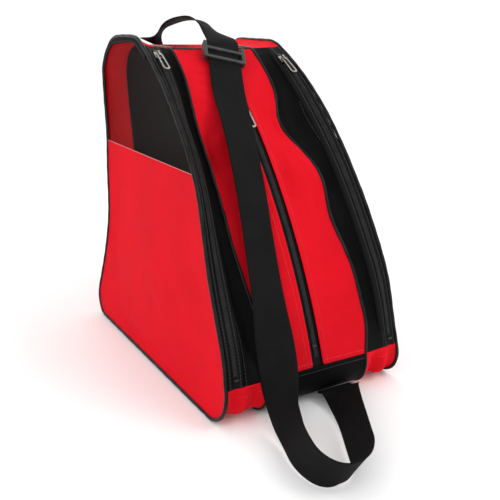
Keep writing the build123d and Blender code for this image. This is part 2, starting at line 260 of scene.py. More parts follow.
def moulded(name, dark, light, rough_low, rough_high, grain):
    """Injection-moulded plastic with a fine grain, paler where it is rubbed."""
    n = Nodes(name)
    rub = n.noise(120.0, 5.0)
    n.colour(rub, dark, light, 0.3, 0.75)
    n.rough(rub, rough_low, rough_high)
    n.bumps((n.noise(grain, 3.0), 0.3, 0.0002), (n.noise(150.0, 2.0), 0.1, 0.0006))
    n.fixed(Specular_IOR_Level=0.4)
    return n.material


def make_nickel():
    n = Nodes("nickel")
    rub = n.noise(180.0, 5.0)
    n.colour(rub, (0.22, 0.21, 0.20), (0.52, 0.50, 0.48), 0.25, 0.7)
    n.rough(rub, 0.18, 0.36)
    n.bumps((n.noise(900.0, 2.0, (1, 0.2, 1)), 0.15, 0.0001))
    n.fixed(Metallic=1.0)
    return n.material


def make_thread(name, dark, light):
    n = Nodes(name)
    n.colour(n.noise(700.0), dark, light)
    n.bumps((n.noise(2500.0, 2.0), 0.5, 0.0002))
    n.fixed(Roughness=0.55, Sheen_Weight=0.2)
    return n.material


red_cloth = woven("red_oxford", (0.58, 0.003, 0.010), (0.84, 0.007, 0.018), 0.9 * MM,
                  0.62, 0.85, 0.05, glow=4 * MM)
# The paler patches in this cloth's colour are partly painted sheen on folds.
black_cloth = woven("black_oxford", (0.002, 0.002, 0.0022), (0.007, 0.007, 0.0075), 0.8 * MM,
                    0.45, 0.7, 0.04)
tape_cloth = woven("zip_tape_cloth", (0.002, 0.002, 0.0022), (0.009, 0.009, 0.0095), 0.6 * MM,
                   0.4, 0.6, 0.08)
mesh_cloth = make_mesh_cloth()
piping_vinyl = make_piping_vinyl()
webbing_cloth = make_webbing()
coil_nylon = moulded("coil_nylon", (0.006, 0.006, 0.006), (0.03, 0.03, 0.031), 0.25, 0.45, 900.0)
buckle_plastic = moulded("buckle_acetal", (0.018, 0.018, 0.019), (0.045, 0.045, 0.047), 0.35, 0.55, 700.0)
board_plastic = moulded("board_plastic", (0.05, 0.05, 0.05), (0.11, 0.11, 0.11), 0.5, 0.7, 300.0)
nickel = make_nickel()
black_thread = make_thread("black_thread", (0.008, 0.008, 0.008), (0.03, 0.03, 0.03))
red_thread = make_thread("red_thread", (0.42, 0.002, 0.008), (0.70, 0.01, 0.02))
pale_thread = make_thread("pale_thread", (0.72, 0.30, 0.30), (0.95, 0.62, 0.60))


# ---- mesh helpers
def unit(vectors):
    return vectors / np.maximum(np.linalg.norm(vectors, axis=-1, keepdims=True), 1e-12)


def lengths(points):
    """Distance travelled to each point of a line."""
    steps = np.linalg.norm(np.diff(points, axis=0), axis=1)
    return np.concatenate([[0.0], np.cumsum(steps)])


def at_distances(values, gone, wanted):
    """Values given at each point of a line, read at the wanted distances along it."""
    return np.stack([np.interp(wanted, gone, values[:, k]) for k in range(values.shape[1])], 1)


def resample(points, count):
    """The same line with evenly spaced points."""
    gone = lengths(points)
    return at_distances(points, gone, np.linspace(0, gone[-1], count))


def tangents(points, closed=False):
    if closed:
        return unit(np.roll(points, -1, 0) - np.roll(points, 1, 0))
    return unit(np.gradient(points, axis=0))


def hump(value, centre, width):
    """A smooth rise to 1 at the centre."""
    return np.exp(-((value - centre) / width) ** 2)


def rise(value, low, high):
    """A smooth step from 0 at low to 1 at high."""
    t = np.clip((value - low) / (high - low), 0, 1)
    return t * t * (3 - 2 * t)


def add_mesh(name, points, faces, material, uv=None):
    """A smooth mesh object that rides on the bag. uv has one pair for each point."""
    mesh = bpy.data.meshes.new(name)
    mesh.from_pydata(np.asarray(points).reshape(-1, 3).tolist(), [], faces)
    if uv is not None:
        layer = mesh.uv_layers.new(name="UVMap")
        corner_points = np.zeros(len(mesh.loops), np.int32)
        mesh.loops.foreach_get("vertex_index", corner_points)
        layer.data.foreach_set("uv", np.asarray(uv, float).reshape(-1, 2)[corner_points].ravel())
    mesh.materials.append(material)
    mesh.polygons.foreach_set("use_smooth", [True] * len(mesh.polygons))
    mesh.update()
    obj = new_object(name, mesh)
    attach(obj, BAG)
    return obj


def grid_faces(rows, columns, wrap_rows=False, wrap_columns=False, first=0):
    faces = []
    for i in range(rows if wrap_rows else rows - 1):
        for j in range(columns if wrap_columns else columns - 1):
            a, b = i * columns, ((i + 1) % rows) * columns
            c = (j + 1) % columns
            faces.append((first + a + j, first + b + j, first + b + c, first + a + c))
    return faces


def end_caps(rows, columns):
    """The two faces that close a tube of so many rings."""
    last = (rows - 1) * columns
    return [tuple(range(columns)), tuple(reversed(range(last, last + columns)))]


def thicken(obj, thickness):
    solid = obj.modifiers.new("thickness", "SOLIDIFY")
    solid.thickness = thickness
    solid.offset = 0.0


def bake_modifiers(obj):
    """Keep the modifiers' result as the object's own mesh."""
    graph = bpy.context.evaluated_depsgraph_get()
    result = bpy.data.meshes.new_from_object(obj.evaluated_get(graph))
    obj.modifiers.clear()
    obj.data = result


def tube(name, line, radius, material, closed=False, around=12, normals=None):
    """A round tube along a line of points."""
    along = tangents(line, closed)
    if normals is None:
        normals = np.tile([0.0, 0.0, 1.0], (len(line), 1))
        normals[np.abs(along[:, 2]) > 0.9] = [0.0, 1.0, 0.0]
    across = unit(np.cross(along, normals))
    up = np.cross(across, along)
    angles = np.linspace(0, 2 * math.pi, around, endpoint=False)
    ring = across[:, None] * np.cos(angles)[:, None] + up[:, None] * np.sin(angles)[:, None]
    points = line[:, None] + ring * np.reshape(radius, (-1, 1, 1))
    gone = lengths(line)
    uv = np.stack(np.broadcast_arrays(angles[None] * np.max(radius), gone[:, None]), 2)
    faces = grid_faces(len(line), around, closed, True)
    if not closed:
        faces += end_caps(len(line), around)
    return add_mesh(name, points, faces, material, uv)


def beads(name, centres, along, up, size, material):
    """Many small rounded bars, one at each centre: size is length, width and height."""
    profile = [(-1.0, 0.0), (-0.72, 0.75), (0.0, 1.0), (0.72, 0.75), (1.0, 0.0)]
    around = 6
    shape = []
    for x, r in profile[1:-1]:
        for k in range(around):
            turn = 2 * math.pi * k / around
            shape.append((x / 2, r * math.cos(turn) / 2, r * math.sin(turn) / 2))
    shape += [(-0.5, 0, 0), (0.5, 0, 0)]
    shape = np.array(shape) * np.array(size)
    tip, tail = len(shape) - 1, len(shape) - 2
    rings = len(profile) - 2
    piece = [(i * around + j, i * around + (j + 1) % around, (i + 1) * around + (j + 1) % around,
              (i + 1) * around + j) for i in range(rings - 1) for j in range(around)]
    piece += [(tail, (j + 1) % around, j) for j in range(around)]
    last = (rings - 1) * around
    piece += [(tip, last + j, last + (j + 1) % around) for j in range(around)]
    side = np.cross(up, along)
    axes = np.stack([along, side, up], 1)
    points = centres[:, None] + np.einsum("sk,nkc->nsc", shape, axes)
    faces = [tuple(i * len(shape) + v for v in face) for i in range(len(centres)) for face in piece]
    add_mesh(name, points, faces, material)


stitch_size = (2.4 * MM, 0.75 * MM, 0.75 * MM * 0.7)     # length, width and height
stitch_gap = 1.0 * MM


def stitches(name, line, outward, material, lift=0.15 * MM):
    """A row of machine stitches lying on the cloth along a line."""
    gone = lengths(line)
    count = max(2, int(gone[-1] / (stitch_size[0] + stitch_gap)))
    wanted = (np.arange(count) + 0.5) * gone[-1] / count
    centres = at_distances(line, gone, wanted)
    along = unit(at_distances(tangents(line), gone, wanted))
    up = at_distances(outward, gone, wanted)
    up = unit(up - along * (up * along).sum(1, keepdims=True))
    beads(name, centres + up * lift, along, up, stitch_size, material)


# ---- strap
buckle_centre = Vector((5, 30, 331.3)) * MM
strap_fall = Vector((-0.30, -0.72, -0.63)).normalized()


def on_straight(distance):
    """Point of the strap's straight stretch, in millimetres down from the buckle's centre."""
    return tuple((buckle_centre + strap_fall * distance * MM) / MM)


# Control points of the webbing's centre line in millimetres, each with the direction across its width.
flat = (-1, 0, 0)
strap_route = [
    ((-22, 163.6, 337.6), flat),
    ((-17.5, 160, 348), (-0.25, -0.97, 0)),
    ((-3, 142, 366), (-0.88, -0.45, -0.05)),
    ((11, 113, 369), (-0.91, -0.37, 0.15)),
    ((14, 89, 360), (-0.87, -0.3, 0.4)),
    ((16, 69, 352), (-0.97, -0.1, 0.2)),
    (on_straight(-24), flat),
    (on_straight(-8), flat),
    (on_straight(33), flat),
    (on_straight(59), flat),
    ((-23, -48, 268), (-0.98, -0.2, 0)),
    ((-33, -93, 214), (-0.98, -0.2, 0)),
    ((-40, -124, 160), (-0.98, -0.2, 0)),
    ((-46, -155, 105), (-0.99, -0.08, 0.06)),
    ((-53, -182, 56), (-0.78, 0.58, -0.22)),
    ((-60, -202, 26), (-0.38, 0.64, -0.67)),
    ((-68, -229, 20), (-0.32, 0.22, -0.92)),
    ((-79, -256, 20), (-0.25, 0.06, -0.97)),
    ((-82, -289, 20), (0.1, 0.15, -0.95)),
    ((-66, -306, 20), (0.25, 0.5, -0.83)),
    ((-40, -297, 20), (-0.1, 0.55, -0.83)),
    ((-22, -265, 20), (-0.27, 0.42, -0.86)),
    ((-2, -230, 20), (-0.3, 0.45, -0.85)),
    ((13, -201, 20), (-0.6, 0.3, -0.7)),
    ((23, -187, 15.5), (-0.97, 0.05, -0.15)),
    ((24, -176, 11), (-1, 0, 0)),
]


def nurbs_line(places):
    """Points read from a smooth NURBS curve with these control points."""
    data = bpy.data.curves.new("route", "CURVE")
    data.dimensions = "3D"
    spline = data.splines.new("NURBS")
    spline.points.add(len(places) - 1)
    for point, place in zip(spline.points, places):
        point.co = (*place, 1.0)
    spline.order_u = 3
    spline.use_endpoint_u = True
    spline.resolution_u = 14
    holder = new_object("route", data)
    mesh = bpy.data.meshes.new_from_object(holder)
    points = np.array([v.co[:] for v in mesh.vertices], float)
    bpy.data.objects.remove(holder)
    bpy.data.meshes.remove(mesh)
    return points


def make_strap():
    """One ribbon of webbing with thicker woven edges."""
    middle = [np.array(place) * MM for place, _ in strap_route]
    edge = [place + np.array(width) * webbing_width / 2
            for place, (_, width) in zip(middle, strap_route)]
    line = nurbs_line(middle)
    along = tangents(line)
    across = nurbs_line(edge) - line
    across = unit(across - along * (across * along).sum(1, keepdims=True))
    up = np.cross(along, across)
    share = np.linspace(-1, 1, 26)
    half = webbing_width / 2
    thick = webbing / 2 * (0.8 + 0.2 * hump(np.abs(share), 0.93, 0.05))
    thick = thick * np.sqrt(1 - np.abs(share) ** 24)
    gone = lengths(line)
    cup = 0.5 * MM * np.sin(gone * 31)[:, None] * (1 - share[None] ** 2)
    sides_of = []
    for sign in (1, -1):
        offset = up[:, None] * (cup + sign * thick[None])[..., None]
        sides_of.append(line[:, None] + across[:, None] * (share * half)[:, None] + offset)
    loop = np.concatenate([sides_of[0], sides_of[1][:, ::-1][:, 1:-1]], 1)
    count = loop.shape[1]
    position = np.concatenate([share, share[::-1][1:-1]]) * half
    uv = np.stack(np.broadcast_arrays(position[None], gone[:, None]), 2)
    faces = grid_faces(len(line), count, False, True)
    faces += end_caps(len(line), count)
    strap = add_mesh("strap_webbing", loop, faces, webbing_cloth, uv)
    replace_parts(strap, "shoulder_strap")
    return line, across


strap_line, strap_across = make_strap()


# ---- seams
def rounded_outline(corners, radii):
    """Points along the side outline as (Y, height above the base seam)."""
    corners = [np.array(corner, float) * MM for corner in corners]
    radii = [radius * MM for radius in radii]
    starts, stops, centres = [], [], []
    for i, corner in enumerate(corners):
        back = unit(corners[i - 1] - corner)
        ahead = unit(corners[(i + 1) % len(corners)] - corner)
        half = math.acos(float(np.clip(back @ ahead, -1, 1))) / 2
        reach = radii[i] / math.tan(half)
        centres.append(corner + unit(back + ahead) * radii[i] / math.sin(half))
        starts.append(corner + back * reach)
        stops.append(corner + ahead * reach)
    points = []
    for i, centre in enumerate(centres):
        first = math.atan2(*(starts[i] - centre)[::-1])
        turn = (math.atan2(*(stops[i] - centre)[::-1]) - first + math.pi) % (2 * math.pi) - math.pi
        for k in range(arc_steps[i]):
            angle = first + turn * k / arc_steps[i]
            points.append(centre + radii[i] * np.array([math.cos(angle), math.sin(angle)]))
        following = starts[(i + 1) % len(starts)]
        for k in range(run_steps[i]):
            points.append(stops[i] + (following - stops[i]) * k / run_steps[i])
    return np.array(points)


def seam_in_space(outline, side, half_width, lean):
    """The outline stood up at one side of the bag, leaning inwards by an angle in degrees."""
    tilt = math.radians(lean)
    x = side * (half_width - outline[:, 1] * math.sin(tilt))
    return np.stack([x, outline[:, 0], base + outline[:, 1] * math.cos(tilt)], 1)


def pull_outer(seam, side_name):
    """The left outer seam is hollow in front and sags behind; the right one drops at its top."""
    side = sides[side_name]
    x, y, z = seam.T.copy()
    front = 1 - rise(y, 0.0, 0.06)
    back = rise(y, 0.09, 0.14)
    if side_name == "left":
        y += front * 10 * MM * hump(z, 0.140, 0.055)
        x += side * front * 2 * MM * hump(z, 0.140, 0.06)
        y -= back * 12 * MM * rise(z, 0.13, 0.27)
        z -= 6 * MM * rise(z, 0.29, 0.34) * hump(y, 0.165, 0.035)
    else:
        x += side * 4 * MM * rise(z, 0.20, 0.33)
        y -= 4 * MM * rise(z, 0.24, 0.33) * rise(-y, -0.16, -0.02)
        z -= 4 * MM * rise(z, 0.22, 0.34)
        x += side * front * 1.5 * MM * hump(z, 0.120, 0.030)
        y += front * 2.8 * MM * hump(z, 0.058, 0.040)
    wobble = 0.5 * MM * np.sin(70 * z + 2 * side)
    wobble = wobble * rise(z, 0.03, 0.08) * (1 - rise(z, 0.28, 0.33))
    return np.stack([x + wobble, y + wobble, z], 1)


def pull_inner(seam, side_name):
    """The left inner seam falls back into the bag; the right one is pinched above a bulge."""
    x, y, z = seam.T.copy()
    front = 1 - rise(y, 0.0, 0.07)
    if side_name == "left":
        fall = rise(z, 0.07, 0.17) * (1 - rise(z, 0.25, 0.325))
        x -= front * 6 * MM * fall
        y += front * 11 * MM * fall
    else:
        pinch = hump(z, 0.262, 0.025) + 0.2 * hump(z, 0.245, 0.02)
        x -= front * 8 * MM * pinch
        y += front * 13 * MM * pinch
        bulge = hump(z, 0.212, 0.026)
        x += front * 4 * MM * bulge
        y -= front * 5 * MM * bulge
        low = rise(z, 0.03, 0.08) * (1 - rise(z, 0.12, 0.18))
        x += front * 5 * MM * low
        y -= front * 6 * MM * low
    return np.stack([x, y, z], 1)


outer_outline = rounded_outline(outer_corners, outer_radii)
inner_outline = rounded_outline(inner_corners, inner_radii)
outer_seams, inner_seams = {}, {}
for side_name, side in sides.items():
    outer = seam_in_space(outer_outline, side, outer_half_width, outer_leans[side_name])
    inner = seam_in_space(inner_outline, side, inner_half_width, inner_lean)
    outer_seams[side_name] = pull_outer(outer, side_name)
    inner_seams[side_name] = pull_inner(inner, side_name)
middle_line = seam_in_space(inner_outline, 0.0, 0.0, 0.0)


def where(seam, axis, value, start, stop):
    """Place, as a fractional index, where the seam crosses a value between two indexes."""
    values = seam[start:stop + 1, axis] - value
    crossing = np.nonzero(values[:-1] * values[1:] <= 0)[0][0]
    return start + crossing + values[crossing] / (values[crossing] - values[crossing + 1] + 1e-12)


def stretch_of(seam, start, stop, count):
    """Evenly spaced points of the closed seam between two fractional indexes."""
    places = np.linspace(start, stop, max(count, 2) * 4)
    wrapped = np.concatenate([seam, seam])
    return resample(at_distances(wrapped, np.arange(len(wrapped)), places), count)


def marks(seam):
    """Fractional indexes of the cloth seams along one closed seam, in order round the bag."""
    return {
        "toe": where(seam, 2, base_seam, 1, 60),
        "window": where(seam, 2, window_seam, FRONT_START, TOP_START),
        "top": where(seam, 1, top_seam_y, FRONT_START + 100, BACK_START),
        "back": where(seam, 1, back_seam_y, BACK_START - 40, BACK_START + 20),
        "back_window": where(seam, 2, window_seam, BACK_START + 20, HEEL_START),
        "heel": where(seam, 2, base_seam, BACK_START + 60, BASE_START - 1),
    }


# ---- cloth panels
bag_middle = np.array([0.0, 0.01, 0.15])
tape_tuck = 1.5 * MM        # how far a front cloth reaches over its zip tape
above_floor = 1.2 * MM      # least height of a panel's middle surface
panel_gap = 1.2 * MM        # from a seam's middle line to a side panel's edge


class Panel:
    """A sewn piece of cloth: a grid of points whose border is held by its seams."""

    def __init__(self, name, grid, material, slot_name, node=None, slack=0.03, cap=9 * MM,
                 thick=0.9 * MM, outward=None):
        self.name = name
        self.grid = grid
        self.material = material
        self.slot_name = slot_name
        self.node = node        # the CAD piece that the cloth stands in for
        self.slack = slack      # share by which the cloth is longer than its place
        self.cap = cap          # most that a point may move as it hangs
        self.thick = thick
        self.hint = outward
        self.creases = 0.0      # metres outwards, added once the cloth hangs
        rows, columns = grid.shape[:2]
        across = np.linalg.norm(np.diff(grid, axis=1), axis=2)
        along = np.linalg.norm(np.diff(grid, axis=0), axis=2)
        self.width = float(across.sum(1).max())
        self.length = float(along.sum(0).max())
        u = np.concatenate([np.zeros((rows, 1)), np.cumsum(across, 1)], 1)
        v = np.concatenate([np.zeros((1, columns)), np.cumsum(along, 0)], 0)
        self.uv = np.stack([u - u.mean(1, keepdims=True), v], 2)
        edge_a = grid[1:, :-1] - grid[:-1, :-1]
        edge_b = grid[:-1, 1:] - grid[:-1, :-1]
        self.area = float(np.linalg.norm(np.cross(edge_a, edge_b), axis=2).sum())

    def normals(self):
        down = np.gradient(self.grid, axis=0)
        over = np.gradient(self.grid, axis=1)
        normal = unit(np.cross(down, over))
        hint = self.hint if self.hint is not None else self.grid.mean((0, 1)) - bag_middle
        if (normal.mean((0, 1)) * hint).sum() < 0:
            normal = -normal
        return normal

    def push(self, amount):
        """Move the points outwards by an amount each, in metres."""
        self.grid = self.grid + self.normals() * np.asarray(amount)[..., None]

    def build(self):
        """Turn the grid into a thin piece of cloth with rounded turns."""
        rows, columns = self.grid.shape[:2]
        faces = grid_faces(rows, columns)
        obj = add_mesh(self.name, self.grid, faces, self.material, self.uv)
        if (self.normals().mean((0, 1)) * obj.data.polygons[len(faces) // 2].normal).sum() < 0:
            obj.data.flip_normals()
        smooth = obj.modifiers.new("smooth", "SUBSURF")
        smooth.levels = smooth.render_levels = 1
        thicken(obj, self.thick)
        bake_modifiers(obj)
        if self.node:
            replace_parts(obj, self.node)


def between(first, second, columns, start=0.0):
    """Grid ruled between two lines of equally many points, from a share of the way to the second."""
    share = np.linspace(start, 1.0, columns)[None, :, None]
    return first[:, None] * (1 - share) + second[:, None] * share


def ruled(seams, start, stop, rows, columns, first=0.0, turns=0):
    """Grid ruled between two seams and two of their marks; turns adds whole turns to the last mark."""
    lines = []
    for seam in seams:
        found = marks(seam)
        lines.append(stretch_of(seam, found[start], found[stop] + turns * len(seam), rows))
    return between(*lines, columns, first)


def shares(shape):
    """How far down and across a grid each of its points lies, from 0 to 1."""
    return np.meshgrid(np.linspace(0, 1, shape[0]), np.linspace(0, 1, shape[1]), indexing="ij")


def bowl(shape, power=0.8):
    """1 in the middle of a grid, 0 at its border."""
    v, u = shares(shape)
    return (np.sin(math.pi * u) * np.sin(math.pi * v)) ** power


def folds(shape, seed, amplitude, across_pitch=1.3, along_pitch=2.2):
    """Soft irregular folds over a grid, zero at its border, worked out from a few waves."""
    v, u = shares(shape)
    chance = np.random.default_rng(seed)
    total = np.zeros(shape)
    for _ in range(7):
        turn, phase = chance.uniform(-1, 1), chance.uniform(0, 6.28)
        pitch = chance.uniform(0.7, 1.6)
        total += np.sin(6.28 * pitch * (across_pitch * u * turn + along_pitch * v) + phase)
    return amplitude * total / 3.5 * bowl(shape, 0.6)


def drape(panels, frames=20):
    """Let all the panels hang with a little spare cloth in each, held at their seams."""
    points, faces, pins, spare = [], [], [], []
    first = 0
    most = max(panel.slack for panel in panels)
    for panel in panels:
        rows, columns = panel.grid.shape[:2]
        points.append(panel.grid.reshape(-1, 3))
        faces += grid_faces(rows, columns, first=first)
        pinned = np.ones((rows, columns))
        pinned[1:-1, 1:-1] = 0.0
        pins.append(pinned.ravel())
        spare.append(np.full(rows * columns, panel.slack / most))
        first += rows * columns
    points = np.concatenate(points)
    mesh = bpy.data.meshes.new("drape")
    mesh.from_pydata(points.tolist(), [], faces)
    obj = new_object("drape", mesh)
    for group_name, weights in (("held", np.concatenate(pins)), ("spare", np.concatenate(spare))):
        group = obj.vertex_groups.new(name=group_name)
        for level in np.unique(weights):
            group.add(np.nonzero(weights == level)[0].tolist(), float(level), "REPLACE")
    cloth = obj.modifiers.new("cloth", "CLOTH")
    settings = {"quality": 5, "mass": 0.12, "tension_stiffness": 12, "compression_stiffness": 12,
                "shear_stiffness": 4, "bending_stiffness": 0.6, "air_damping": 3,
                "vertex_group_mass": "held", "vertex_group_shrink": "spare", "shrink_min": 0.0,
                "shrink_max": -most}
    for key, value in settings.items():
        setattr(cloth.settings, key, value)
    cloth.collision_settings.use_collision = False
    cloth.point_cache.frame_start = 1
    cloth.point_cache.frame_end = frames
    for step in range(1, frames + 1):
        bpy.context.scene.frame_set(step)
    graph = bpy.context.evaluated_depsgraph_get()
    settled = np.zeros(len(points) * 3)
    obj.evaluated_get(graph).data.vertices.foreach_get("co", settled)
    moved = settled.reshape(-1, 3) - points
    bpy.data.objects.remove(obj)
    bpy.context.scene.frame_set(1)
    first = 0
    for panel in panels:
        rows, columns = panel.grid.shape[:2]
        shift = moved[first:first + rows * columns].reshape(rows, columns, 3)
        size = np.linalg.norm(shift, axis=2, keepdims=True)
        panel.grid = panel.grid + shift * np.minimum(1, panel.cap / np.maximum(size, 1e-9))
        panel.grid[..., 2] = np.maximum(panel.grid[..., 2], above_floor)
        first += rows * columns


panels = {}


def add_panel(name, *arguments, **settings):
    panels[name] = Panel(name, *arguments, **settings)
    return panels[name]


def branch(seam, value, rear):
    """Point of the front or the rear of a seam at a height."""
    part = seam[BASE_START - 1:TOP_START + 30:-1] if rear else seam[:TOP_START + 30]
    order = np.argsort(part[:, 2], kind="stable")
    return np.array([np.interp(value, part[order, 2], part[order, k]) for k in range(3)])


def face_grid(seam, low, high, rows, columns, inset):
    """Level rows from the front to the rear of a seam's face, between two heights."""
    grid = np.zeros((rows, columns, 3))
    for i, height in enumerate(np.linspace(low, high, rows)):
        front, rear = branch(seam, height, False), branch(seam, height, True)
        margin = min(0.3, inset / np.linalg.norm(rear - front))
        share = np.linspace(margin, 1 - margin, columns)[:, None]
        grid[i] = front + (rear - front) * share
    return grid


def make_side_faces(side_name):
    """The boot-shaped panel, the mesh window above it and the wall to the middle compartment."""
    seam, inner = outer_seams[side_name], inner_seams[side_name]
    low, top = base + panel_gap, float(seam[:, 2].max()) - 1.6 * MM
    outwards = np.array([sides[side_name], 0, 0])
    boot_grid, window_grid, wall_grid = (44, 52), (30, 40), (54, 44)
    grid = face_grid(seam, low, window_seam, *boot_grid, panel_gap)
    panel = add_panel(f"{side_name}_boot_panel", grid, red_cloth, "red_cloth",
                      f"{side_name}_side_panel", slack=0.012, cap=4 * MM, outward=outwards)
    v, u = shares(boot_grid)
    panel.push(3.5 * MM * bowl(boot_grid, 0.7))
    panel.creases = 0.9 * MM * hump(np.sin(9 * (u - 0.7 * v)), 0.9, 0.25) * bowl(boot_grid)
    grid = face_grid(seam, window_seam, top, *window_grid, panel_gap)
    window = add_panel(f"{side_name}_mesh", grid, mesh_cloth, "mesh", f"{side_name}_mesh_window",
                       slack=0.006, cap=2.5 * MM, thick=0.35 * MM, outward=outwards)
    window.push(1.5 * MM * bowl(window_grid))
    grid = face_grid(inner, low, float(inner[:, 2].max()) - 1.5 * MM, *wall_grid, 1.0 * MM)
    divider = add_panel(f"{side_name}_inner_wall", grid, black_cloth, "black_cloth",
                        f"{side_name}_divider", slack=0.02, cap=7 * MM, outward=outwards)
    divider.push(-3 * MM * bowl(wall_grid) + folds(wall_grid, 5, 1.2 * MM))


def make_side_gussets(side_name):
    """The four cloths between an outer and an inner seam, and the zip beside the front one."""
    seams = (outer_seams[side_name], inner_seams[side_name])
    front_grid = (84, 20)
    strip = ruled(seams, "toe", "top", front_grid[0], 2)
    width = np.linalg.norm(strip[:, 1] - strip[:, 0], axis=1).mean()
    tape_share = (tape_inset + tape_width) / width
    front = ruled(seams, "toe", "top", *front_grid, tape_share - tape_tuck / width)
    v, u = shares(front_grid)
    panel = add_panel(f"{side_name}_front_cloth", front, black_cloth, "black_cloth",
                      f"{side_name}_front_gusset", slack=0.035, cap=9 * MM)
    valley = -9 * MM * np.sin(math.pi * u) * rise(v, 0.0, 0.12) * (1 - rise(v, 0.88, 1.0))
    seed = 1 if side_name == "left" else 2
    panel.push(valley + folds(front_grid, 10 + seed, 1.6 * MM, 1.0, 3.0))
    for part, start, stop, turns, rows, sag, part_seed in (
            ("top", "top", "back", 0, 24, -4 * MM, 21),
            ("back", "back", "heel", 0, 56, -3 * MM, 22),
            ("bottom", "heel", "toe", 1, 80, 0.0, 23)):
        shape = (rows, 14)
        grid = ruled(seams, start, stop, *shape, turns=turns)
        panel = add_panel(f"{side_name}_{part}_cloth", grid, red_cloth, "red_cloth",
                          f"{side_name}_{part}_gusset", slack=0.03, cap=6 * MM)
        panel.push(sag * bowl(shape) + folds(shape, part_seed, 1.0 * MM))
        if part == "bottom":
            wrinkle_toe(panel, part_seed + seed)
    make_side_zip(side_name, ruled(seams, "toe", "top", 260, 2))


def wrinkle_toe(panel, seed):
    """Crumple the toe end of a base cloth, where the last rows climb to the zip."""
    v, u = shares(panel.grid.shape[:2])
    near = rise(v, 0.78, 0.90) * np.sin(math.pi * u) ** 0.5
    crumple = np.sin(3.2 * math.pi * u + 11 * v + seed) + 0.7 * np.sin(4.1 * math.pi * u - 24 * v)
    panel.creases = near * (crumple * 3.2 * MM - 3.5 * MM) * (1 - rise(v, 0.97, 1.0))


# ---- zips
coil_pitch = 1.6 * MM
coil_half_width = 2.5 * MM
coil_height = 1.6 * MM
steps_per_turn = 9


def coil(name, line, across, up, side):
    """One nylon coil: a flattened spring sewn along the tape's edge."""
    gone = lengths(line)
    steps = int(gone[-1] / coil_pitch) * steps_per_turn
    wanted = np.linspace(0, gone[-1], steps)
    centre, across, up = (at_distances(values, gone, wanted) for values in (line, across, up))
    across, up = unit(across), unit(up)
    angle = 2 * math.pi * np.arange(steps) / steps_per_turn
    sway = side * (coil_half_width * 0.42 + coil_half_width * 0.55 * np.cos(angle))
    lift = coil_height * (0.5 + 0.38 * np.sin(angle))
    points = centre + across * sway[:, None] + up * lift[:, None]
    return tube(name, points, 0.36 * MM, coil_nylon, around=5, normals=up)


def coil_pair(zip_name, line, across, up, inside):
    """The two coils, a on one side and b on the other, over a slice of the tape's rows."""
    first, _ = [coil(f"{zip_name}_coil_{k}", line[inside], across[inside], up[inside], sign)
                for k, sign in (("a", 1), ("b", -1))]
    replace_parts(first, f"{zip_name}_coil")


def tape(zip_name, line, across, up, profile):
    """Strip of woven tape whose section is a list of (offset across, offset up)."""
    profile = np.array(profile)
    grid = line[:, None] + across[:, None] * profile[None, :, :1] + up[:, None] * profile[None, :, 1:]
    u = lengths(profile)
    uv = np.stack(np.broadcast_arrays(u[None], lengths(line)[:, None]), 2)
    faces = grid_faces(len(line), len(profile))
    obj = add_mesh(f"{zip_name}_cloth", grid, faces, tape_cloth, uv)
    thicken(obj, 0.6 * MM)
    bake_modifiers(obj)
    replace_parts(obj, f"{zip_name}_tape")


side_coil_foot = 8          # rows of bare tape below a side zip's coil
side_coil_heads = {"left": 14, "right": 19}     # rows above it
middle_coil_foot = 12
middle_coil_head = 46


def make_side_zip(side_name, strip):
    """Tape with raised woven edges, two coils and the rows of stitches that hold it."""
    outer, inner = strip[:, 0], strip[:, 1]
    across = unit(inner - outer)
    along = tangents(outer)
    up = unit(np.cross(along, across))
    if (up.mean(0) * (outer.mean(0) - bag_middle)).sum() < 0:
        up = -up
    half = tape_width / 2
    line = outer + across * (tape_inset + half)
    ridge = 0.9 * MM
    profile = [(-half, 0), (-half * 0.86, ridge), (-half * 0.66, ridge), (-half * 0.52, 0),
               (0, -0.5 * MM), (half * 0.42, 0), (half * 0.56, ridge), (half * 0.76, ridge), (half, 0),
               (half * 1.4, -1.5 * MM)]
    zip_name = f"{side_name}_zip"
    tape(zip_name, line, across, up, profile)
    coil_pair(zip_name, line, across, up, slice(side_coil_foot, -side_coil_heads[side_name]))
    for k, share in enumerate((-0.76, 0.66)):
        stitches(f"{zip_name}_stitching_{k}", line + across * half * share + up * ridge, up,
                 black_thread, lift=0.3 * MM)


# ---- middle compartment
slot_half = 6.4 * MM        # from the middle line to the folded edge beside the coil
zip_drop = 1.7 * MM         # of the tape's middle line below the seam's


